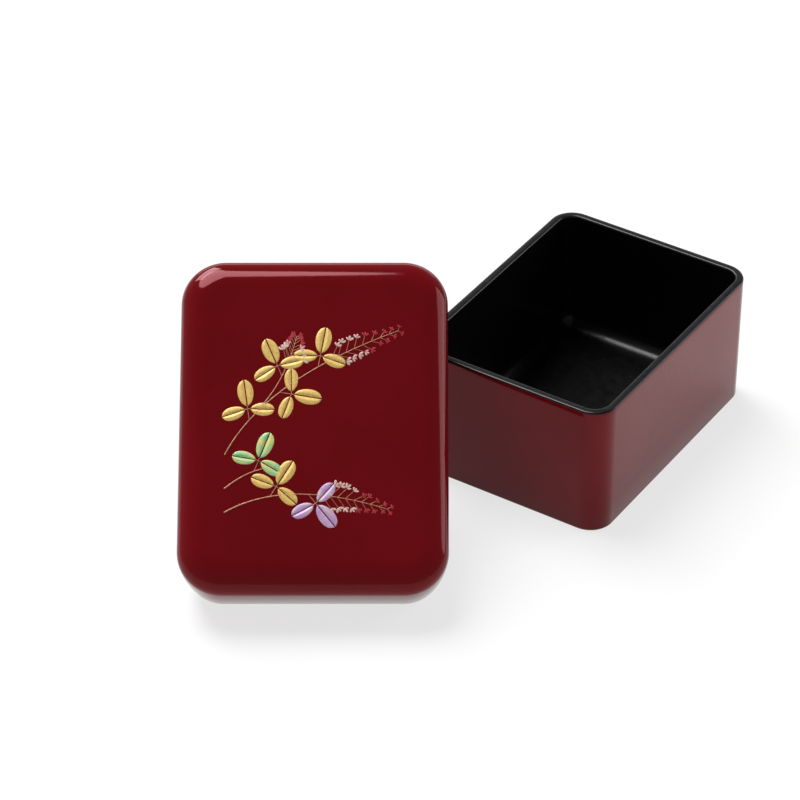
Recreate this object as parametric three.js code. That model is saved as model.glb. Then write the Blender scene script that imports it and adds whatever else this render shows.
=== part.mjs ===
import * as THREE from 'three';

// A lacquer case in millimetres, +Z up. The origin is the centre of the underside of the body,
// which stands open. The crowned lid is off, and leans on the rim of one short side.

// Body
const bodyLength = 88.8;
const bodyWidth = 66.2;
const bodyHeight = 43;
const bodyWall = 2.6;
const bodyCornerRadius = 7.5;
const baseThickness = 3;
const coveRadius = 5;
const coveFeather = 0.4;
const rimRound = 0.6;
const footRound = 0.8;

// Lid, measured from its own rim plane
const lidWall = 2.8;
const lidClearance = 0.9;
const skirtDepth = 15.5;
const skirtBulge = 1.6;
const crownRise = 5.5;
const crownBand = 9;
const panelDome = 0.9;
const lidBoard = 3;
const underCoveWidth = 4;

// Resting place of the lid: how far it leans from level, how far it is turned from the body's
// length, and how far from the corner its side crosses the rim of the short side
const lidLean = THREE.MathUtils.degToRad(35.7);
const lidYaw = THREE.MathUtils.degToRad(33.1);
const leanFromCorner = 11.5;

// Clearance between pieces that touch
const seatGap = 0.3;

// Fineness of the curves
const cornerSteps = 8;
const roundSteps = 3;
const coveSteps = 6;
const bulgeSteps = 8;
const crownSteps = 8;
const domeSteps = 6;
const domeSideSteps = 6;
const smallestRadius = 3;

const quarter = Math.PI / 2;

// Points of an arc in a profile of [inset, height] pairs
function arc(centreInset, centreHeight, insetRadius, heightRadius, from, to, steps) {
  const points = [];
  for (let i = 0; i <= steps; i += 1) {
    const angle = from + (to - from) * i / steps;
    points.push([
      centreInset + insetRadius * Math.cos(angle),
      centreHeight + heightRadius * Math.sin(angle),
    ]);
  }
  return points;
}

// One outline of a loft: a rounded rectangle, drawn in by the inset. Its straight sides are
// divided where the plan asks for it, and the plan's rise lifts its points.
function outline(plan, [inset, height]) {
  const radius = Math.max(plan.radius - inset, smallestRadius);
  const reachX = plan.length / 2 - inset - radius;
  const reachY = plan.width / 2 - inset - radius;
  const corners = [[1, 1], [-1, 1], [-1, -1], [1, -1]];
  const flat = [];
  corners.forEach(([sideX, sideY], corner) => {
    for (let i = 0; i <= cornerSteps; i += 1) {
      const angle = quarter * (corner + i / cornerSteps);
      flat.push([
        sideX * reachX + radius * Math.cos(angle),
        sideY * reachY + radius * Math.sin(angle),
      ]);
    }
    const [nextX, nextY] = corners[(corner + 1) % corners.length];
    const start = flat[flat.length - 1];
    const end = [
      nextX * reachX + radius * Math.cos(quarter * (corner + 1)),
      nextY * reachY + radius * Math.sin(quarter * (corner + 1)),
    ];
    for (let i = 1; i < plan.sideSteps; i += 1) {
      const share = i / plan.sideSteps;
      flat.push([
        start[0] + (end[0] - start[0]) * share,
        start[1] + (end[1] - start[1]) * share,
      ]);
    }
  });
  return flat.map(([x, y]) => [x, y, height + plan.rise(x, y)]);
}

// A closed body through the outlines of a profile. A ring joins its last outline to its first,
// and anything else gets a cap on each end.
function loft(plan, profile, isRing) {
  const outlines = profile.map((point) => outline(plan, point));
  const count = outlines[0].length;
  const positions = outlines.flat(2);
  const faces = [];
  const spans = isRing ? outlines.length : outlines.length - 1;
  for (let span = 0; span < spans; span += 1) {
    const lower = span * count;
    const upper = ((span + 1) % outlines.length) * count;
    for (let i = 0; i < count; i += 1) {
      const next = (i + 1) % count;
      faces.push(lower + i, lower + next, upper + next);
      faces.push(lower + i, upper + next, upper + i);
    }
  }
  if (!isRing) {
    const last = (outlines.length - 1) * count;
    const firstCentre = positions.length / 3;
    positions.push(0, 0, profile[0][1] + plan.rise(0, 0));
    const lastCentre = positions.length / 3;
    positions.push(0, 0, profile[profile.length - 1][1] + plan.rise(0, 0));
    for (let i = 0; i < count; i += 1) {
      const next = (i + 1) % count;
      faces.push(firstCentre, next, i);
      faces.push(lastCentre, last + i, last + next);
    }
  }
  const geometry = new THREE.BufferGeometry();
  geometry.setAttribute('position', new THREE.Float32BufferAttribute(positions, 3));
  geometry.setIndex(faces);
  geometry.computeVertexNormals();
  return geometry;
}

function piece(name, geometry, colour, roughness) {
  const material = new THREE.MeshStandardMaterial({ color: colour, roughness, metalness: 0 });
  const mesh = new THREE.Mesh(geometry, material);
  mesh.name = name;
  return mesh;
}

const noRise = () => 0;

const bodyPlan = {
  length: bodyLength,
  width: bodyWidth,
  radius: bodyCornerRadius,
  sideSteps: 1,
  rise: noRise,
};

const lidGrowth = lidClearance + lidWall;
const lidPlan = {
  length: bodyLength + 2 * lidGrowth,
  width: bodyWidth + 2 * lidGrowth,
  radius: bodyCornerRadius + lidGrowth,
  sideSteps: 1,
  rise: noRise,
};

// The wall of the body: a straight ring with a softened rim and foot
function caseWall() {
  const profile = [
    ...arc(footRound, footRound, footRound, footRound, -quarter, -2 * quarter, roundSteps),
    ...arc(rimRound, bodyHeight - rimRound, rimRound, rimRound, 2 * quarter, quarter, roundSteps),
    ...arc(bodyWall - rimRound, bodyHeight - rimRound, rimRound, rimRound, quarter, 0, roundSteps),
    [bodyWall, 0],
  ];
  return loft(bodyPlan, profile, true);
}

// The base board, let in flush with the foot, with a cove rising against the wall
function caseBase() {
  const edge = bodyWall + seatGap;
  const coveTop = baseThickness + coveRadius;
  const coveCentre = edge + coveFeather + coveRadius;
  const profile = [
    [edge, 0],
    [edge, coveTop],
    ...arc(coveCentre, coveTop, coveRadius, coveRadius, 2 * quarter, 3 * quarter, coveSteps),
  ];
  return loft(bodyPlan, profile, false);
}

// How far the skirt of the lid stands out at a height above its rim
function skirtInset(height) {
  return -skirtBulge * Math.sin(quarter * height / skirtDepth);
}

// The skirt of the lid: a ring that swells from the rim to its widest line
function lidSkirt() {
  const swelling = [];
  for (let i = 1; i <= bulgeSteps; i += 1) {
    const height = rimRound + (skirtDepth - rimRound) * i / bulgeSteps;
    swelling.push([skirtInset(height), height]);
  }
  const profile = [
    ...arc(rimRound, rimRound, rimRound, rimRound, -quarter, -2 * quarter, roundSteps),
    ...swelling,
    [lidWall, skirtDepth],
    ...arc(lidWall - rimRound, rimRound, rimRound, rimRound, 0, -quarter, roundSteps),
  ];
  return loft(lidPlan, profile, true);
}

// The top of the lid: a crowned board whose edge rolls over to the widest line of the skirt
function lidTop() {
  const seat = skirtDepth + seatGap;
  const shoulder = seat + crownRise;
  const ceiling = shoulder - lidBoard;
  const underCove = arc(
    lidWall + underCoveWidth, seat, underCoveWidth, ceiling - seat, quarter, 2 * quarter, coveSteps,
  );
  const crownCentre = crownBand - skirtBulge;
  const panelX = lidPlan.length / 2 - crownCentre;
  const panelY = lidPlan.width / 2 - crownCentre;
  const domed = (x, y) => {
    const across = Math.max(0, 1 - (x / panelX) ** 2);
    const along = Math.max(0, 1 - (y / panelY) ** 2);
    return panelDome * across * along;
  };
  const crown = arc(crownCentre, seat, crownBand, crownRise, 2 * quarter, quarter, crownSteps);
  const panel = [];
  for (let i = 1; i <= domeSteps; i += 1) {
    panel.push([crownCentre + (panelY - smallestRadius) * i / (domeSteps + 1), shoulder]);
  }
  const plan = { ...lidPlan, sideSteps: domeSideSteps, rise: domed };
  return loft(plan, [...underCove, ...crown, ...panel], false);
}

// The lid leans so that its long side crosses the rim of the body, and its lower rim
// comes down to the surface that the body stands on
function placeLid(lid) {
  lid.rotation.set(0, -lidLean, lidYaw, 'ZYX');
  const lidUp = new THREE.Vector3(0, 0, 1).applyEuler(lid.rotation);
  const crossing = new THREE.Vector3(-bodyLength / 2, bodyWidth / 2 - leanFromCorner, bodyHeight);
  crossing.addScaledVector(lidUp, seatGap);
  const upSlope = crossing.z / Math.sin(lidLean);
  const onLid = new THREE.Vector3(upSlope - lidPlan.length / 2, -lidPlan.width / 2, 0);
  lid.position.copy(crossing.sub(onLid.applyEuler(lid.rotation)));
}

const body = new THREE.Group();
body.add(piece('case_wall', caseWall(), 0x2a120e, 0.25));
body.add(piece('case_base', caseBase(), 0x0c0a0a, 0.35));

const lid = new THREE.Group();
lid.add(piece('lid_skirt', lidSkirt(), 0x5c1a1c, 0.2));
lid.add(piece('lid_top', lidTop(), 0x6a1e20, 0.2));
placeLid(lid);

const lacquerCase = new THREE.Group();
lacquerCase.add(body);
lacquerCase.add(lid);

export default lacquerCase;
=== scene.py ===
"""A lacquer case that stands open, with its crowned lid leaning on the rim. Everything is in metres."""

import math
import random

import bmesh
import bpy
from bpy.props import FloatProperty, FloatVectorProperty, IntProperty, PointerProperty
from mathutils import Matrix, Vector


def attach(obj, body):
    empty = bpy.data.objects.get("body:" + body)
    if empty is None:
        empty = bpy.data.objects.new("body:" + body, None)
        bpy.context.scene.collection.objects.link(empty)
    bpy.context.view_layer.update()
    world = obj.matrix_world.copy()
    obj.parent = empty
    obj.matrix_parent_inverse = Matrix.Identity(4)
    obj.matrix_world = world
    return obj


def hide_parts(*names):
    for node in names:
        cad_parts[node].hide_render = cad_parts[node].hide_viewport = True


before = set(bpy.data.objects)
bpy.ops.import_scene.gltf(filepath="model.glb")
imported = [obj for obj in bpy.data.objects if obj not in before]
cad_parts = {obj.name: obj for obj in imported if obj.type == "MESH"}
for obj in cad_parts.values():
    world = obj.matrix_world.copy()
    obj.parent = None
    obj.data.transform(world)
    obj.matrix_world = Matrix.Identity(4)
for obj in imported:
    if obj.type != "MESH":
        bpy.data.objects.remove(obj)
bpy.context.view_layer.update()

bl_info = {
    "name": "Lacquer Case",
    "version": (1, 0, 0),
    "blender": (4, 5, 0),
    "location": "View3D > Sidebar > Lacquer",
    "description": "Builds a lacquer case with a crowned lid, black inside and a gold and shell spray",
    "category": "Object",
}

MM = 0.001
QUARTER = math.pi / 2

# Fineness of the lofts
BODY_STEPS = {"corner_steps": 16, "side_steps": 6, "smallest": 2 * MM}
LID_STEPS = {"corner_steps": 18, "side_steps": 20, "smallest": 3 * MM}
ROUND_STEPS = 5
BODY_COVE_STEPS = 10
LID_COVE_STEPS = 8
SWELLING_STEPS = 16
CROWN_STEPS = 24

# Extra outlines of the lofts: at shares of a height, and at distances inwards
OUTSIDE_ROWS = (0.2, 0.4, 0.6, 0.8, 0.95)
INSIDE_ROWS = (0.9, 0.7, 0.5, 0.3)
SKIRT_ROWS = (0.6, 0.4, 0.2)
FOOT_RING = 6 * MM
FLOOR_RINGS = [step * MM for step in (1, 6, 14)]
CEILING_RINGS = [step * MM for step in (22, 14, 8, 3)]
PANEL_RINGS = [step * MM for step in (0.5, 1.5, 3, 6, 9, 12, 15, 18, 21, 24)]

# The two lacquers of a shell, and how many spans of its rim keep the one that leads up to it
RED, BLACK = 0, 1
BODY_RIM_SPANS = 1
LID_RIM_SPANS = 4

# Polished lacquer: how it bends light, its clear coat, its specks and its faint ripple
LACQUER_IOR = 1.37
COAT_WEIGHT = 0.12
COAT_ROUGHNESS = 0.04
POLISH_RANGE = (0.7, 1.3)
SPECK_SCALE = 9
RIPPLE_STRENGTH = 0.05
RIPPLE_DEPTH = 0.3 * MM

# Roughness and patch scale of each lacquered surface
RED_POLISH = {"roughness": 0.07, "patch_scale": 26}
INSIDE_POLISH = {"roughness": 0.3, "patch_scale": 40}
UNDER_LID_POLISH = {"roughness": 0.25, "patch_scale": 40}
BLACK_DEEPER = 0.6
WHITE = (1, 1, 1)

# Powder and shell of the ornament: roughness, contrast of the grain and its relief
POWDER_ROUGHNESS = 0.42
POWDER_CONTRAST = (0.35, 0.65)
POWDER_RELIEF = 0.15
POWDER_DEPTH = 0.1 * MM

# Each ornament finish: its material, second tone, share of metal and scale of the grain
ORNAMENT_FINISHES = {
    "gold": {"name": "gold_powder", "other": (0.70, 0.45, 0.12), "metal": 0.15, "grain": 1600},
    "shell": {"name": "green_shell", "other": (0.70, 0.66, 0.20), "metal": 0.1, "grain": 420},
    "lilac": {"name": "lilac_shell", "other": (0.68, 0.52, 0.62), "metal": 0.1, "grain": 420},
    "stem": {"name": "stem_powder", "other": (0.40, 0.14, 0.09), "metal": 0.3, "grain": 1600},
    "petal": {"name": "red_petal", "other": (0.30, 0.012, 0.02), "metal": 0.0, "grain": 1200},
    "blossom": {"name": "pale_petal", "other": (0.62, 0.36, 0.32), "metal": 0.0, "grain": 1200},
}

# A leaf, in shares of its length: half its width, half its midrib groove, the least width of a
# half and how much wider it is at the tip. Its section is in shares of the width and the height.
LEAF_STEPS = 14
LEAF_HALF_WIDTH = 0.29
LEAF_GROOVE = 0.022
LEAF_THINNEST = 0.02
LEAF_WIDENING = 0.2
LEAF_SECTION = ((0, 0.75), (0.45, 1.0), (0.85, 0.6), (1, 0.0))

# A petal, in shares of its length: its middle, half its width, its width at the foot, and how
# far its top is drawn in
PETAL_STEPS = 10
PETAL_MIDDLE = 0.55
PETAL_HALF_WIDTH = 0.27
PETAL_FOOT_WIDTH = 0.35
PETAL_TOP = 0.6
PETAL_RAISED = 0.8

# The spray, in millimetres right and up the panel: each stem's curve through three handles, the
# shares of it that carry leaves, and where its petals start
SPRAYS = {
    "upper": {"curve": ((-25, -10), (-14, 12), (24, 27)), "leaves": (0.24, 0.45, 0.66), "tip": 0.72},
    "side": {"curve": ((-15, 4), (-8, 12), (-5, 25)), "leaves": (0.5,), "tip": 0.66},
    "lower": {"curve": ((-25, -27), (-8, -17), (21, -26)), "leaves": (0.34, 0.58), "tip": 0.66},
    "short": {"curve": ((-25, -20), (-19, -15), (-13, -14)), "leaves": (0.7,), "tip": 1.0},
}

# Stalks and fans of the leaves and petals, in millimetres and radians
LEAF_STALK = 3.4
LEAF_STALK_TURN = 0.85
LEAF_FAN = ((0.0, 1.0), (1.75, 0.86), (-1.75, 0.86))
LEAF_ROOT = 0.9
PETAL_ROWS = 9
PETAL_STALK = 1.0
PETAL_SPREAD = 3.4
PETAL_STALK_TURNS = (0.55, 0.95)
PETAL_FAN = (-0.75, 0.0, 0.75)
PETAL_SIZES = (0.85, 1.15)
PETAL_SHRINKING = 0.4
PALE_UNTIL = 0.42

# Thickness and steps of the stems and stalks
STEM_STEPS = 24
STEM_FOOT = 1.15
STEM_THINNING = 0.6
LEAF_STALK_STEPS = 4
LEAF_STALK_THICKNESS = 0.6
PETAL_STALK_STEPS = 3
PETAL_STALK_THICKNESS = 0.4

CAMERA = {
    "lens": 157.4,
    "sensor": 36,
    "distance": 1076.3 * MM,
    "elevation": math.radians(36.44),
    "azimuth": math.radians(-56.93),
    "target": Vector((-19.38, 52.45, 0)) * MM,
    "sight": (0.05, 20),
}

# The middle of the case, and each lamp's place from it to the camera's right, away and up
MIDDLE = Vector((-0.05, 0.03, 0.02))
LAMPS = {
    "key": {"place": (-0.55, 0.75, 0.85), "size": (0.6, 0.45), "power": 7.5},
    "side": {"place": (1.1, 0.25, 0.48), "size": (0.5, 0.8), "power": 3.5},
    "back": {"place": (0, 1.2, 0.38), "size": (1.6, 0.2), "power": 1.5},
}
DAYLIGHT = {"from": (-0.3, 0.3, 0.9), "power": 2.6, "angle": math.radians(35)}

# The surroundings are white at the horizon and greyer overhead
SKY = {"overhead": 0.3, "overhead_at": 0.85, "strength": 0.4}

FLOOR_SIZE = 6
FLOOR_COLOUR = (0.92, 0.915, 0.91)
FLOOR_ROUGHNESS = 0.6
FLOOR_SPECULAR = 0.2
FLOOR_WHITE_SHARE = 0.72


class CaseSizes(bpy.types.PropertyGroup):
    """Sizes of the body"""

    length: FloatProperty(name="Length", description="Outer length", default=88.8 * MM, unit="LENGTH")
    width: FloatProperty(name="Width", description="Outer width", default=66.2 * MM, unit="LENGTH")
    height: FloatProperty(name="Height", description="Foot to rim", default=43 * MM, unit="LENGTH")
    wall: FloatProperty(name="Wall", description="Thickness of the wall", default=2.6 * MM, unit="LENGTH")
    corner: FloatProperty(name="Corner", description="Outer corner", default=7.5 * MM, unit="LENGTH")
    floor: FloatProperty(name="Floor", description="Thickness of the base", default=3 * MM, unit="LENGTH")
    cove: FloatProperty(
        name="Cove", description="Radius of the inner edge", default=5.4 * MM, unit="LENGTH"
    )
    rim: FloatProperty(name="Rim", description="Rounding of the rim", default=0.7 * MM, unit="LENGTH")
    foot: FloatProperty(name="Foot", description="Rounding of the foot", default=0.8 * MM, unit="LENGTH")


class LidSizes(bpy.types.PropertyGroup):
    """Sizes of the lid, measured from its own rim plane"""

    wall: FloatProperty(name="Wall", description="Thickness of the skirt", default=2.8 * MM, unit="LENGTH")
    side: FloatProperty(
        name="Side", description="Rim outside the body's sides", default=3.7 * MM, unit="LENGTH"
    )
    end: FloatProperty(
        name="End", description="Rim outside the body's ends", default=3.7 * MM, unit="LENGTH"
    )
    depth: FloatProperty(
        name="Depth", description="Rim to the widest line", default=15.65 * MM, unit="LENGTH"
    )
    bulge: FloatProperty(
        name="Bulge", description="Swelling of the skirt", default=1.6 * MM, unit="LENGTH"
    )
    rise: FloatProperty(
        name="Rise", description="Widest line to the panel", default=5.6 * MM, unit="LENGTH"
    )
    band: FloatProperty(
        name="Band", description="Width of the rolled edge", default=9 * MM, unit="LENGTH"
    )
    dome: FloatProperty(
        name="Dome", description="Height of the panel's dome", default=0.9 * MM, unit="LENGTH"
    )
    board: FloatProperty(name="Board", description="Thickness of the top", default=3 * MM, unit="LENGTH")
    cove: FloatProperty(name="Cove", description="Radius under the top", default=4 * MM, unit="LENGTH")
    lean: FloatProperty(
        name="Lean", description="Angle from level", default=math.radians(35.7), subtype="ANGLE"
    )
    yaw: FloatProperty(
        name="Yaw", description="Turn from the body", default=math.radians(33.1), subtype="ANGLE"
    )
    from_corner: FloatProperty(
        name="From corner", description="Crossing of the body's rim", default=11.5 * MM, unit="LENGTH"
    )
    gap: FloatProperty(name="Gap", description="Clearance at the crossing", default=0.3 * MM, unit="LENGTH")


class Finishes(bpy.types.PropertyGroup):
    """Colours of the lacquers and the ornament"""

    red: FloatVectorProperty(
        name="Red lacquer", description="Outside of body and lid", default=(0.16, 0.004, 0.007),
        subtype="COLOR", size=3, min=0, max=1,
    )
    red_deep: FloatVectorProperty(
        name="Deep red", description="Deeper patches of the red lacquer", default=(0.12, 0.003, 0.005),
        subtype="COLOR", size=3, min=0, max=1,
    )
    gleam: FloatVectorProperty(
        name="Gleam", description="Tint of the red lacquer's reflections", default=(1.0, 0.24, 0.28),
        subtype="COLOR", size=3, min=0, max=1,
    )
    black: FloatVectorProperty(
        name="Black lacquer", description="Inside and rim", default=(0.0035, 0.0033, 0.0035),
        subtype="COLOR", size=3, min=0, max=1,
    )
    gold: FloatVectorProperty(
        name="Gold", description="Gold leaves", default=(0.86, 0.60, 0.17),
        subtype="COLOR", size=3, min=0, max=1,
    )
    shell: FloatVectorProperty(
        name="Shell", description="Green shell leaves", default=(0.30, 0.62, 0.30),
        subtype="COLOR", size=3, min=0, max=1,
    )
    lilac: FloatVectorProperty(
        name="Lilac shell", description="Lilac shell leaves", default=(0.50, 0.30, 0.60),
        subtype="COLOR", size=3, min=0, max=1,
    )
    stem: FloatVectorProperty(
        name="Stem", description="Fine stems", default=(0.62, 0.32, 0.17),
        subtype="COLOR", size=3, min=0, max=1,
    )
    petal: FloatVectorProperty(
        name="Red petals", description="Petals at the tips", default=(0.55, 0.02, 0.04),
        subtype="COLOR", size=3, min=0, max=1,
    )
    blossom: FloatVectorProperty(
        name="Pale petals", description="Pale petals near the leaves", default=(0.80, 0.55, 0.50),
        subtype="COLOR", size=3, min=0, max=1,
    )


class SpraySizes(bpy.types.PropertyGroup):
    """Sizes of the plant ornament"""

    leaf: FloatProperty(name="Leaf", description="Length of a leaf", default=7.8 * MM, unit="LENGTH")
    raised: FloatProperty(name="Raised", description="Height of the gold", default=0.16 * MM, unit="LENGTH")
    stem: FloatProperty(name="Stem", description="Radius of a stem", default=0.17 * MM, unit="LENGTH")
    petal: FloatProperty(name="Petal", description="Length of a petal", default=1.7 * MM, unit="LENGTH")
    seed: IntProperty(name="Seed", description="Seed of the petals' scatter", default=4)


def heading_of(angle):
    """The flat direction at an angle"""
    return Vector((math.cos(angle), math.sin(angle)))


def arc(centre, radii, start, end, steps):
    """Points [inset, height] of an arc in a profile"""
    points = []
    for i in range(steps + 1):
        angle = start + (end - start) * i / steps
        points.append((centre[0] + radii[0] * math.cos(angle), centre[1] + radii[1] * math.sin(angle)))
    return points


def outline(plan, inset, height):
    """One outline of a loft: a rounded rectangle drawn in by the inset"""
    radius = max(plan["radius"] - inset, plan["smallest"])
    reach_x = plan["length"] / 2 - inset - radius
    reach_y = plan["width"] / 2 - inset - radius
    centres = [
        Vector((side_x * reach_x, side_y * reach_y))
        for side_x, side_y in ((1, 1), (-1, 1), (-1, -1), (1, -1))
    ]
    flat = []
    for corner, centre in enumerate(centres):
        for i in range(plan["corner_steps"] + 1):
            angle = QUARTER * (corner + i / plan["corner_steps"])
            flat.append(centre + heading_of(angle) * radius)
        start = flat[-1]
        end = centres[(corner + 1) % len(centres)] + heading_of(QUARTER * (corner + 1)) * radius
        for i in range(1, plan["side_steps"]):
            flat.append(start.lerp(end, i / plan["side_steps"]))
    return [Vector((p.x, p.y, height + plan["rise"](p.x, p.y))) for p in flat]


def loft(name, plan, profile, zones, materials, place=Matrix.Identity(4)):
    """A closed shell through the outlines of a profile, capped at both ends

    The zones give each span between two outlines its material.
    """
    mesh = bpy.data.meshes.new(name)
    made = bmesh.new()
    rings = [[made.verts.new(place @ p) for p in outline(plan, *point)] for point in profile]
    count = len(rings[0])
    for span in range(len(rings) - 1):
        lower, upper = rings[span], rings[span + 1]
        for i in range(count):
            j = (i + 1) % count
            face = made.faces.new((lower[i], lower[j], upper[j], upper[i]))
            face.material_index = zones[span]
            face.smooth = True
    for ring, height, first, zone in (
        (rings[0], profile[0][1], True, zones[0]),
        (rings[-1], profile[-1][1], False, zones[-1]),
    ):
        centre = made.verts.new(place @ Vector((0, 0, height + plan["rise"](0, 0))))
        for i in range(count):
            j = (i + 1) % count
            corners = (centre, ring[j], ring[i]) if first else (centre, ring[i], ring[j])
            face = made.faces.new(corners)
            face.material_index = zone
            face.smooth = True
    made.to_mesh(mesh)
    made.free()
    for material in materials:
        mesh.materials.append(material)
    piece = bpy.data.objects.new(name, mesh)
    bpy.context.scene.collection.objects.link(piece)
    return piece


def lacquer(name, colour, deep, gleam, roughness, patch_scale):
    """Polished lacquer: a deep colour with faint cloudiness, a soft ripple and a clear coat"""
    material = bpy.data.materials.new(name)
    material.use_nodes = True
    nodes, links = material.node_tree.nodes, material.node_tree.links
    shader = nodes["Principled BSDF"]
    place = nodes.new("ShaderNodeTexCoord")
    clouds = nodes.new("ShaderNodeTexNoise")
    clouds.inputs["Scale"].default_value = patch_scale
    clouds.inputs["Detail"].default_value = 3
    mix = nodes.new("ShaderNodeMix")
    mix.data_type = "RGBA"
    mix.inputs["A"].default_value = (*deep, 1)
    mix.inputs["B"].default_value = (*colour, 1)
    links.new(place.outputs["Object"], clouds.inputs["Vector"])
    links.new(clouds.outputs["Fac"], mix.inputs["Factor"])
    links.new(mix.outputs["Result"], shader.inputs["Base Color"])
    specks = nodes.new("ShaderNodeTexNoise")
    specks.inputs["Scale"].default_value = patch_scale * SPECK_SCALE
    specks.inputs["Detail"].default_value = 2
    polish = nodes.new("ShaderNodeMapRange")
    polish.inputs["To Min"].default_value = roughness * POLISH_RANGE[0]
    polish.inputs["To Max"].default_value = roughness * POLISH_RANGE[1]
    links.new(place.outputs["Object"], specks.inputs["Vector"])
    links.new(specks.outputs["Fac"], polish.inputs["Value"])
    links.new(polish.outputs["Result"], shader.inputs["Roughness"])
    ripple = nodes.new("ShaderNodeBump")
    ripple.inputs["Strength"].default_value = RIPPLE_STRENGTH
    ripple.inputs["Distance"].default_value = RIPPLE_DEPTH
    links.new(clouds.outputs["Fac"], ripple.inputs["Height"])
    links.new(ripple.outputs["Normal"], shader.inputs["Normal"])
    shader.inputs["IOR"].default_value = LACQUER_IOR
    shader.inputs["Specular Tint"].default_value = (*gleam, 1)
    shader.inputs["Coat Weight"].default_value = COAT_WEIGHT
    shader.inputs["Coat Roughness"].default_value = COAT_ROUGHNESS
    return material


def leaf_finish(name, colour, other, metal, grain):
    """Sprinkled metal powder or shell: a grainy colour that shifts across the piece"""
    material = bpy.data.materials.new(name)
    material.use_nodes = True
    nodes, links = material.node_tree.nodes, material.node_tree.links
    shader = nodes["Principled BSDF"]
    place = nodes.new("ShaderNodeTexCoord")
    powder = nodes.new("ShaderNodeTexNoise")
    powder.inputs["Scale"].default_value = grain
    powder.inputs["Detail"].default_value = 4
    contrast = nodes.new("ShaderNodeMapRange")
    contrast.inputs["From Min"].default_value = POWDER_CONTRAST[0]
    contrast.inputs["From Max"].default_value = POWDER_CONTRAST[1]
    mix = nodes.new("ShaderNodeMix")
    mix.data_type = "RGBA"
    mix.inputs["A"].default_value = (*other, 1)
    mix.inputs["B"].default_value = (*colour, 1)
    links.new(place.outputs["Object"], powder.inputs["Vector"])
    links.new(powder.outputs["Fac"], contrast.inputs["Value"])
    links.new(contrast.outputs["Result"], mix.inputs["Factor"])
    links.new(mix.outputs["Result"], shader.inputs["Base Color"])
    relief = nodes.new("ShaderNodeBump")
    relief.inputs["Strength"].default_value = POWDER_RELIEF
    relief.inputs["Distance"].default_value = POWDER_DEPTH
    links.new(powder.outputs["Fac"], relief.inputs["Height"])
    links.new(relief.outputs["Normal"], shader.inputs["Normal"])
    shader.inputs["Metallic"].default_value = metal
    shader.inputs["Roughness"].default_value = POWDER_ROUGHNESS
    return material


def body_plan():
    """Outline of the body"""
    case = bpy.context.scene.case_sizes
    return {
        **BODY_STEPS,
        "length": case.length,
        "width": case.width,
        "radius": case.corner,
        "rise": lambda x, y: 0.0,
    }


def lid_plan():
    """Outline of the lid's rim, whose rise is the gentle dome of the panel"""
    case, lid = bpy.context.scene.case_sizes, bpy.context.scene.lid_sizes
    length, width = case.length + 2 * lid.end, case.width + 2 * lid.side
    shoulder = lid.band - lid.bulge
    panel_x, panel_y = length / 2 - shoulder, width / 2 - shoulder

    def rise(x, y):
        return lid.dome * max(0.0, 1 - (x / panel_x) ** 2) * max(0.0, 1 - (y / panel_y) ** 2)

    return {
        **LID_STEPS,
        "length": length,
        "width": width,
        "radius": case.corner + lid.side,
        "rise": rise,
        "shoulder": shoulder,
    }


def lid_place():
    """Where the lid leans: its long side crosses the rim of the body's short side"""
    case, lid, plan = bpy.context.scene.case_sizes, bpy.context.scene.lid_sizes, lid_plan()
    turn = Matrix.Rotation(lid.yaw, 4, "Z") @ Matrix.Rotation(-lid.lean, 4, "Y")
    up = turn.to_3x3() @ Vector((0, 0, 1))
    crossing = Vector((-case.length / 2, case.width / 2 - lid.from_corner, case.height)) + up * lid.gap
    on_lid = Vector((crossing.z / math.sin(lid.lean) - plan["length"] / 2, -plan["width"] / 2, 0))
    return Matrix.Translation(crossing - turn.to_3x3() @ on_lid) @ turn


def panel_height(x, y):
    """Height of the lid's outer face over its rim plane, on the panel"""
    lid, plan = bpy.context.scene.lid_sizes, lid_plan()
    return lid.depth + lid.rise + plan["rise"](x, y)


def finish_red(name):
    """The red lacquer"""
    look = bpy.context.scene.finishes
    return lacquer(name, tuple(look.red), tuple(look.red_deep), tuple(look.gleam), **RED_POLISH)


def finish_black(name, polish):
    """The black lacquer"""
    black = tuple(bpy.context.scene.finishes.black)
    return lacquer(name, black, tuple(c * BLACK_DEEPER for c in black), WHITE, **polish)


def body_profile(case):
    """The body from under its foot, over the rim and down to its floor, and its zones"""
    foot, rim_round, cove = (case.foot, case.foot), (case.rim, case.rim), (case.cove, case.cove)
    rim_height = case.height - case.rim
    inner_floor = case.wall + case.cove
    outside = [(case.foot + FOOT_RING, 0.0), (case.foot, 0.0)]
    outside += arc(foot, foot, -QUARTER, -2 * QUARTER, ROUND_STEPS)[1:]
    outside += [(0.0, case.height * share) for share in OUTSIDE_ROWS]
    rim = arc((case.rim, rim_height), rim_round, 2 * QUARTER, QUARTER, ROUND_STEPS)
    rim += arc((case.wall - case.rim, rim_height), rim_round, QUARTER, 0, ROUND_STEPS)
    inside = [(case.wall, case.height * share) for share in INSIDE_ROWS]
    cove_centre = (inner_floor, case.floor + case.cove)
    inside += arc(cove_centre, cove, 2 * QUARTER, 3 * QUARTER, BODY_COVE_STEPS)
    inside += [(inner_floor + ring, case.floor) for ring in FLOOR_RINGS]
    profile = outside + rim + inside
    red_until = len(outside) + BODY_RIM_SPANS
    return profile, [RED if span < red_until else BLACK for span in range(len(profile) - 1)]


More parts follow.
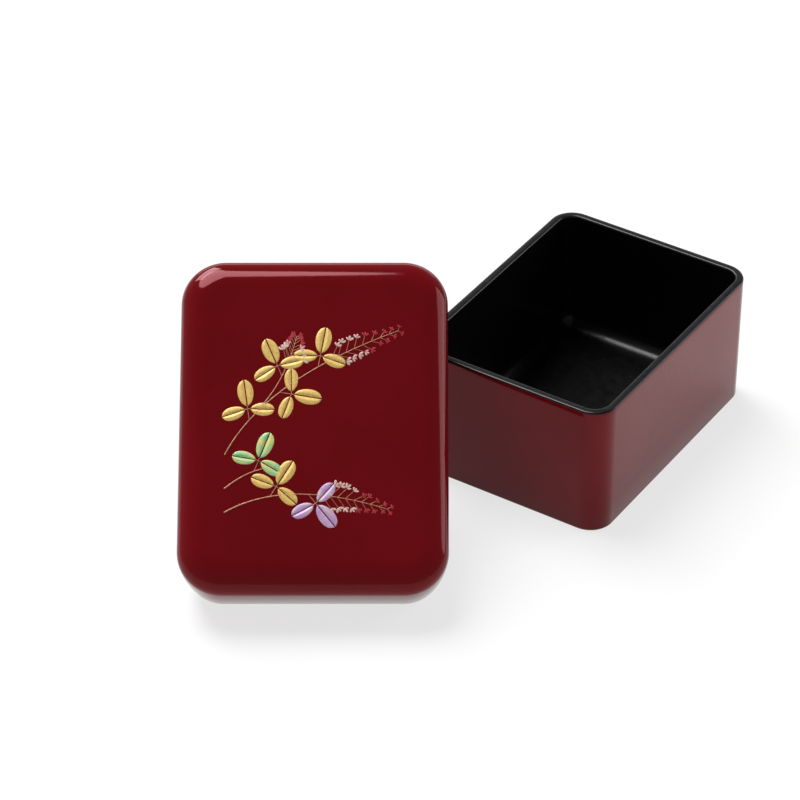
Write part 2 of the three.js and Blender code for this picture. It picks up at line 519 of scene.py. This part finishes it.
def lid_profile(lid, edge, shoulder):
    """The lid from under its top, round its rim and over the crown to the panel, and its zones"""
    edge_round = (edge, edge)
    shoulder_height = lid.depth + lid.rise
    ceiling = shoulder_height - lid.board
    inner = [(lid.wall + lid.cove + ring, ceiling) for ring in CEILING_RINGS]
    cove_centre = (lid.wall + lid.cove, ceiling - lid.cove)
    inner += arc(cove_centre, (lid.cove, lid.cove), 3 * -QUARTER, 2 * -QUARTER, LID_COVE_STEPS)
    inner += [(lid.wall, ceiling * share) for share in SKIRT_ROWS]
    rim = arc((lid.wall - edge, edge), edge_round, 0, -QUARTER, ROUND_STEPS)
    rim += arc(edge_round, edge_round, -QUARTER, -2 * QUARTER, ROUND_STEPS)
    swelling = []
    for i in range(1, SWELLING_STEPS + 1):
        height = edge + (lid.depth - edge) * i / SWELLING_STEPS
        swelling.append((-lid.bulge * math.sin(QUARTER * height / lid.depth), height))
    crown = arc((shoulder, lid.depth), (lid.band, lid.rise), 2 * QUARTER, QUARTER, CROWN_STEPS)[1:]
    panel = [(shoulder + ring, shoulder_height) for ring in PANEL_RINGS]
    profile = inner + rim + swelling + crown + panel
    black_until = len(inner) + LID_RIM_SPANS
    return profile, [BLACK if span < black_until else RED for span in range(len(profile) - 1)]


class LACQUER_OT_body(bpy.types.Operator):
    """Make the body: red outside, black rim and inside, with a coved floor edge"""

    bl_idname = "lacquer.body"
    bl_label = "Body"

    def execute(self, context):
        profile, zones = body_profile(context.scene.case_sizes)
        materials = [finish_red("case_red_lacquer"), finish_black("black_inside", INSIDE_POLISH)]
        body = loft("case_shell", body_plan(), profile, zones, materials)
        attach(body, "case")
        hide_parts("case_wall", "case_base")
        return {"FINISHED"}


class LACQUER_OT_lid(bpy.types.Operator):
    """Make the lid: a crowned red shell, black inside"""

    bl_idname = "lacquer.lid"
    bl_label = "Lid"

    def execute(self, context):
        plan = lid_plan()
        profile, zones = lid_profile(
            context.scene.lid_sizes, context.scene.case_sizes.rim, plan["shoulder"]
        )
        materials = [
            finish_red("lid_red_lacquer"),
            finish_black("black_under_lid", UNDER_LID_POLISH),
        ]
        lid = loft("lid_shell", plan, profile, zones, materials, lid_place())
        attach(lid, "lid")
        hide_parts("lid_skirt", "lid_top")
        return {"FINISHED"}


def leaf_mesh(name, length, raised):
    """A leaf in two halves with a groove between them for the midrib, lying along +X from its foot"""
    made = bmesh.new()
    groove = length * LEAF_GROOVE
    for side in (1, -1):
        rows = []
        for i in range(LEAF_STEPS + 1):
            share = i / LEAF_STEPS
            oval = math.sqrt(max(0.0, 1 - (2 * share - 1) ** 2))
            widening = 1 - LEAF_WIDENING / 2 + LEAF_WIDENING * share
            reach = length * LEAF_HALF_WIDTH * oval * widening
            row = []
            for across, lift in LEAF_SECTION:
                y = side * (groove + max(reach - groove, length * LEAF_THINNEST) * across)
                row.append(made.verts.new((length * share, y, raised * lift)))
            rows.append(row)
        for a, b in zip(rows, rows[1:]):
            for k in range(len(LEAF_SECTION) - 1):
                corners = (a[k], b[k], b[k + 1], a[k + 1])
                face = made.faces.new(corners if side > 0 else corners[::-1])
                face.smooth = True
    edges = [e for e in made.edges if e.is_boundary]
    lowered = bmesh.ops.extrude_edge_only(made, edges=edges)["geom"]
    for vert in (g for g in lowered if isinstance(g, bmesh.types.BMVert)):
        vert.co.z = -raised
    loops = [e for e in made.edges if e.is_boundary]
    bmesh.ops.holes_fill(made, edges=loops, sides=0)
    bmesh.ops.recalc_face_normals(made, faces=made.faces)
    mesh = bpy.data.meshes.new(name)
    made.to_mesh(mesh)
    made.free()
    return mesh


def petal_mesh(name, length, raised):
    """A teardrop petal along +X, a low closed drop"""
    made = bmesh.new()
    middle = length * PETAL_MIDDLE
    ring, top = [], []
    for i in range(PETAL_STEPS):
        angle = 4 * QUARTER * i / PETAL_STEPS
        x = middle + (length - middle) * math.cos(angle)
        widening = PETAL_FOOT_WIDTH + (1 - PETAL_FOOT_WIDTH) * x / length
        y = length * PETAL_HALF_WIDTH * math.sin(angle) * widening
        ring.append(made.verts.new((x, y, 0)))
        top.append(made.verts.new((middle + (x - middle) * PETAL_TOP, y * PETAL_TOP, raised)))
    under = [made.verts.new((v.co.x, v.co.y, -raised)) for v in ring]
    for a, b in ((ring, top), (under, ring)):
        for i in range(PETAL_STEPS):
            j = (i + 1) % PETAL_STEPS
            made.faces.new((a[i], a[j], b[j], b[i])).smooth = True
    made.faces.new(top)
    made.faces.new(under[::-1])
    bmesh.ops.recalc_face_normals(made, faces=made.faces)
    mesh = bpy.data.meshes.new(name)
    made.to_mesh(mesh)
    made.free()
    return mesh


def scatter_tree(name, motif, material):
    """Geometry nodes that set a motif on each point, turned and sized by the point's attributes"""
    tree = bpy.data.node_groups.new(name, "GeometryNodeTree")
    tree.interface.new_socket("Geometry", in_out="INPUT", socket_type="NodeSocketGeometry")
    scale_in = tree.interface.new_socket("Size", in_out="INPUT", socket_type="NodeSocketFloat")
    scale_in.default_value = 1.0
    tree.interface.new_socket("Geometry", in_out="OUTPUT", socket_type="NodeSocketGeometry")
    nodes, links = tree.nodes, tree.links
    start, end = nodes.new("NodeGroupInput"), nodes.new("NodeGroupOutput")
    source = nodes.new("GeometryNodeObjectInfo")
    source.inputs["Object"].default_value = motif
    turn = nodes.new("GeometryNodeInputNamedAttribute")
    turn.data_type = "FLOAT_VECTOR"
    turn.inputs["Name"].default_value = "turn"
    size = nodes.new("GeometryNodeInputNamedAttribute")
    size.data_type = "FLOAT"
    size.inputs["Name"].default_value = "size"
    grow = nodes.new("ShaderNodeMath")
    grow.operation = "MULTIPLY"
    place = nodes.new("GeometryNodeInstanceOnPoints")
    solid = nodes.new("GeometryNodeRealizeInstances")
    paint = nodes.new("GeometryNodeSetMaterial")
    paint.inputs["Material"].default_value = material
    links.new(start.outputs["Geometry"], place.inputs["Points"])
    links.new(source.outputs["Geometry"], place.inputs["Instance"])
    links.new(turn.outputs["Attribute"], place.inputs["Rotation"])
    links.new(size.outputs["Attribute"], grow.inputs[0])
    links.new(start.outputs["Size"], grow.inputs[1])
    links.new(grow.outputs["Value"], place.inputs["Scale"])
    links.new(place.outputs["Instances"], solid.inputs["Geometry"])
    links.new(solid.outputs["Geometry"], paint.inputs["Geometry"])
    links.new(paint.outputs["Geometry"], end.inputs["Geometry"])
    return tree, scale_in.identifier


def set_on_lid(mesh):
    """Lay a flat mesh, drawn to the right and up the panel, onto the domed panel of the leaning lid"""
    place = lid_place()
    for vert in mesh.vertices:
        x, y = vert.co.y, -vert.co.x
        vert.co = place @ Vector((x, y, panel_height(x, y) + vert.co.z))
    mesh.update()


def scatter(name, motif_mesh, material, spots):
    """A piece made of a motif at each spot (right, up, angle, size), laid on the lid"""
    motif = bpy.data.objects.new(name + "_motif", motif_mesh)
    bpy.context.scene.collection.objects.link(motif)
    points = bpy.data.meshes.new(name + "_spots")
    points.from_pydata([(right, up, 0) for right, up, _, _ in spots], [], [])
    points.attributes.new("turn", "FLOAT_VECTOR", "POINT")
    points.attributes.new("size", "FLOAT", "POINT")
    for i, (_, _, angle, size) in enumerate(spots):
        points.attributes["turn"].data[i].vector = (0, 0, angle)
        points.attributes["size"].data[i].value = size
    carrier = bpy.data.objects.new(name + "_spots", points)
    bpy.context.scene.collection.objects.link(carrier)
    tree, size_socket = scatter_tree(name + "_scatter", motif, material)
    modifier = carrier.modifiers.new("Scatter", "NODES")
    modifier.node_group = tree
    modifier[size_socket] = 1.0
    bpy.context.view_layer.update()
    evaluated = carrier.evaluated_get(bpy.context.evaluated_depsgraph_get())
    mesh = bpy.data.meshes.new_from_object(evaluated)
    bpy.data.objects.remove(carrier)
    bpy.data.objects.remove(motif)
    mesh.name = name
    set_on_lid(mesh)
    piece = bpy.data.objects.new(name, mesh)
    bpy.context.scene.collection.objects.link(piece)
    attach(piece, "lid")


def bend(start, middle, end, share):
    """Point and heading on a curve through three handles, in millimetres right and up the panel"""
    a, b, c = Vector(start), Vector(middle), Vector(end)
    point = a.lerp(b, share).lerp(b.lerp(c, share), share)
    heading = (b - a).lerp(c - b, share)
    return point, math.atan2(heading.y, heading.x)


def leaf_spots():
    """Three leaves on a short stalk at each leaf place, by kind, and the stalks"""
    kinds, stalks = {"gold": [], "shell": [], "lilac": []}, []
    for name, spray in SPRAYS.items():
        for order, share in enumerate(spray["leaves"]):
            point, heading = bend(*spray["curve"], share)
            side = 1 if order % 2 == 0 else -1
            aim = heading + side * LEAF_STALK_TURN
            foot = point + heading_of(aim) * LEAF_STALK
            stalks.append((point, foot))
            kind = "gold"
            if name == "short":
                kind = "shell"
            if name == "lower" and order == 1:
                kind = "lilac"
            for fan, size in LEAF_FAN:
                angle = aim + fan
                root = foot + heading_of(angle) * LEAF_ROOT
                stalks.append((foot, root))
                kinds[kind].append((root.x * MM, root.y * MM, angle, size))
    return kinds, stalks


def petal_spots(rng):
    """Small petals in pairs along the tips, pale near the leaves and red at the end, and their stalks"""
    pale, red, stalks = [], [], []
    for spray in SPRAYS.values():
        tip = spray["tip"]
        if tip >= 1.0:
            continue
        for i in range(PETAL_ROWS):
            done = i / (PETAL_ROWS - 1)
            along = tip + (1 - tip) * done
            point, heading = bend(*spray["curve"], along)
            spread = PETAL_SPREAD * (1 - done) + PETAL_STALK
            for side in (1, -1):
                aim = heading + side * rng.uniform(*PETAL_STALK_TURNS)
                foot = point + heading_of(aim) * spread
                stalks.append((point, foot))
                group = pale if done < PALE_UNTIL else red
                for fan in PETAL_FAN:
                    size = rng.uniform(*PETAL_SIZES) * (1 - PETAL_SHRINKING * done)
                    group.append((foot.x * MM, foot.y * MM, aim + fan, size))
    return pale, red, stalks


def stem_mesh(name, paths, radius):
    """Fine round stems along paths of points, in millimetres right and up the panel"""
    curve = bpy.data.curves.new(name, "CURVE")
    curve.dimensions = "3D"
    curve.bevel_depth = radius
    curve.bevel_resolution = 1
    curve.use_fill_caps = True
    for path in paths:
        spline = curve.splines.new("POLY")
        spline.points.add(len(path) - 1)
        for spot, (point, thin) in zip(spline.points, path):
            spot.co = (point.x * MM, point.y * MM, 0, 1)
            spot.radius = thin
    carrier = bpy.data.objects.new(name, curve)
    bpy.context.scene.collection.objects.link(carrier)
    bpy.context.view_layer.update()
    evaluated = carrier.evaluated_get(bpy.context.evaluated_depsgraph_get())
    mesh = bpy.data.meshes.new_from_object(evaluated)
    bpy.data.objects.remove(carrier)
    mesh.name = name
    return mesh


def stem_paths(leaf_stalks, petal_stalks):
    """Paths of the stems, which thin towards their tips, and of the stalks"""
    paths = []
    for spray in SPRAYS.values():
        path = []
        for i in range(STEM_STEPS + 1):
            share = i / STEM_STEPS
            path.append((bend(*spray["curve"], share)[0], STEM_FOOT - STEM_THINNING * share))
        paths.append(path)
    for stalks, steps, thickness in (
        (leaf_stalks, LEAF_STALK_STEPS, LEAF_STALK_THICKNESS),
        (petal_stalks, PETAL_STALK_STEPS, PETAL_STALK_THICKNESS),
    ):
        for a, b in stalks:
            paths.append([(a.lerp(b, i / steps), thickness) for i in range(steps + 1)])
    return paths


class LACQUER_OT_ornament(bpy.types.Operator):
    """Lay the bush clover spray on the lid: gold and shell leaves, fine stems and small petals"""

    bl_idname = "lacquer.ornament"
    bl_label = "Ornament"

    def execute(self, context):
        look, sizes = context.scene.finishes, context.scene.spray_sizes
        rng = random.Random(sizes.seed)
        finishes = {
            kind: leaf_finish(colour=tuple(getattr(look, kind)), **values)
            for kind, values in ORNAMENT_FINISHES.items()
        }
        kinds, leaf_stalks = leaf_spots()
        for kind, spots in kinds.items():
            leaf = leaf_mesh(kind + "_leaf", sizes.leaf, sizes.raised)
            scatter(kind + "_leaves", leaf, finishes[kind], spots)
        pale_spots, red_spots, petal_stalks = petal_spots(rng)
        drop = petal_mesh("petal", sizes.petal, sizes.raised * PETAL_RAISED)
        scatter("pale_petals", drop, finishes["blossom"], pale_spots)
        scatter("red_petals", drop.copy(), finishes["petal"], red_spots)
        mesh = stem_mesh("stems", stem_paths(leaf_stalks, petal_stalks), sizes.stem)
        mesh.materials.append(finishes["stem"])
        set_on_lid(mesh)
        stems = bpy.data.objects.new("stems", mesh)
        context.scene.collection.objects.link(stems)
        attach(stems, "lid")
        return {"FINISHED"}


def area_lamp(name, place, aim, size, power):
    """A soft rectangular lamp"""
    data = bpy.data.lights.new(name, "AREA")
    data.shape = "RECTANGLE"
    data.size, data.size_y = size
    data.energy = power
    lamp = bpy.data.objects.new(name, data)
    lamp.location = place
    lamp.rotation_euler = (aim - place).to_track_quat("-Z", "Y").to_euler()
    bpy.context.scene.collection.objects.link(lamp)


def floor_finish():
    """A pale floor that reads as white and still holds the shadow"""
    material = bpy.data.materials.new("pale_floor")
    material.use_nodes = True
    nodes, links = material.node_tree.nodes, material.node_tree.links
    shader = nodes["Principled BSDF"]
    shader.inputs["Base Color"].default_value = (*FLOOR_COLOUR, 1)
    shader.inputs["Roughness"].default_value = FLOOR_ROUGHNESS
    shader.inputs["Specular IOR Level"].default_value = FLOOR_SPECULAR
    glow = nodes.new("ShaderNodeEmission")
    glow.inputs["Strength"].default_value = 1.0
    ray = nodes.new("ShaderNodeLightPath")
    seen = nodes.new("ShaderNodeMath")
    seen.operation = "MAXIMUM"
    share = nodes.new("ShaderNodeMath")
    share.operation = "MULTIPLY"
    share.inputs[1].default_value = FLOOR_WHITE_SHARE
    mix = nodes.new("ShaderNodeMixShader")
    links.new(ray.outputs["Is Camera Ray"], seen.inputs[0])
    links.new(ray.outputs["Is Glossy Ray"], seen.inputs[1])
    links.new(seen.outputs["Value"], share.inputs[0])
    links.new(share.outputs["Value"], mix.inputs["Fac"])
    links.new(shader.outputs["BSDF"], mix.inputs[1])
    links.new(glow.outputs["Emission"], mix.inputs[2])
    links.new(mix.outputs["Shader"], nodes["Material Output"].inputs["Surface"])
    return material


def add_floor():
    """The floor that the case stands on"""
    bpy.ops.mesh.primitive_plane_add(size=FLOOR_SIZE, location=(0, 0, 0))
    floor = bpy.context.active_object
    floor.name = "floor"
    floor.data.materials.append(floor_finish())


def add_camera():
    """The camera, from its azimuth and elevation around its target"""
    azimuth, elevation = CAMERA["azimuth"], CAMERA["elevation"]
    back = Vector(
        (
            math.sin(azimuth) * math.cos(elevation),
            -math.cos(azimuth) * math.cos(elevation),
            math.sin(elevation),
        )
    )
    data = bpy.data.cameras.new("camera")
    data.lens = CAMERA["lens"]
    data.sensor_width = CAMERA["sensor"]
    data.clip_start, data.clip_end = CAMERA["sight"]
    camera = bpy.data.objects.new("camera", data)
    camera.location = CAMERA["target"] + back * CAMERA["distance"]
    camera.rotation_euler = (-back).to_track_quat("-Z", "Y").to_euler()
    bpy.context.scene.collection.objects.link(camera)
    bpy.context.scene.camera = camera


def from_camera(right, away, up):
    """A direction given to the camera's right, away from it and up"""
    azimuth = CAMERA["azimuth"]
    across = Vector((math.cos(azimuth), math.sin(azimuth), 0))
    ahead = Vector((-math.sin(azimuth), math.cos(azimuth), 0))
    return across * right + ahead * away + Vector((0, 0, up))


def add_daylight():
    """Broad daylight from above, a little from behind and from the left"""
    data = bpy.data.lights.new("daylight", "SUN")
    data.energy = DAYLIGHT["power"]
    data.angle = DAYLIGHT["angle"]
    daylight = bpy.data.objects.new("daylight", data)
    daylight.rotation_euler = (-from_camera(*DAYLIGHT["from"])).to_track_quat("-Z", "Y").to_euler()
    bpy.context.scene.collection.objects.link(daylight)


def add_surroundings():
    """Plain surroundings, white at the horizon and greyer overhead"""
    world = bpy.data.worlds.new("surroundings")
    bpy.context.scene.world = world
    world.use_nodes = True
    nodes, links = world.node_tree.nodes, world.node_tree.links
    place = nodes.new("ShaderNodeTexCoord")
    height = nodes.new("ShaderNodeSeparateXYZ")
    ramp = nodes.new("ShaderNodeValToRGB")
    horizon, overhead = ramp.color_ramp.elements
    horizon.position = 0.0
    horizon.color = (1, 1, 1, 1)
    overhead.position = SKY["overhead_at"]
    overhead.color = (SKY["overhead"], SKY["overhead"], SKY["overhead"], 1)
    links.new(place.outputs["Generated"], height.inputs["Vector"])
    links.new(height.outputs["Z"], ramp.inputs["Fac"])
    links.new(ramp.outputs["Color"], nodes["Background"].inputs["Color"])
    nodes["Background"].inputs["Strength"].default_value = SKY["strength"]


class LACQUER_OT_stage(bpy.types.Operator):
    """Make the floor, the lamps, the plain surroundings and the camera"""

    bl_idname = "lacquer.stage"
    bl_label = "Stage"

    def execute(self, context):
        add_floor()
        add_camera()
        for name, lamp in LAMPS.items():
            area_lamp(name, MIDDLE + from_camera(*lamp["place"]), MIDDLE, lamp["size"], lamp["power"])
        add_daylight()
        add_surroundings()
        context.scene.view_settings.view_transform = "Standard"
        return {"FINISHED"}


class LACQUER_PT_panel(bpy.types.Panel):
    """The case's steps"""

    bl_label = "Lacquer Case"
    bl_space_type = "VIEW_3D"
    bl_region_type = "UI"
    bl_category = "Lacquer"

    def draw(self, context):
        for operator in OPERATORS:
            self.layout.operator(operator.bl_idname)
        for group in PROPERTIES:
            holder = getattr(context.scene, group)
            box = self.layout.box()
            for name in holder.__annotations__:
                box.prop(holder, name)


PROPERTIES = {
    "case_sizes": CaseSizes,
    "lid_sizes": LidSizes,
    "finishes": Finishes,
    "spray_sizes": SpraySizes,
}
OPERATORS = (LACQUER_OT_stage, LACQUER_OT_body, LACQUER_OT_lid, LACQUER_OT_ornament)


def register():
    """Register the classes and the scene's properties"""
    for made in (*PROPERTIES.values(), *OPERATORS, LACQUER_PT_panel):
        bpy.utils.register_class(made)
    for name, group in PROPERTIES.items():
        setattr(bpy.types.Scene, name, PointerProperty(type=group))


def unregister():
    """Take the classes and properties away again"""
    for name in PROPERTIES:
        delattr(bpy.types.Scene, name)
    for made in (LACQUER_PT_panel, *OPERATORS, *PROPERTIES.values()):
        bpy.utils.unregister_class(made)


def main():
    """Build the scene"""
    register()
    for name in ("stage", "body", "lid", "ornament"):
        getattr(bpy.ops.lacquer, name)()


if __name__ == "__main__":
    main()
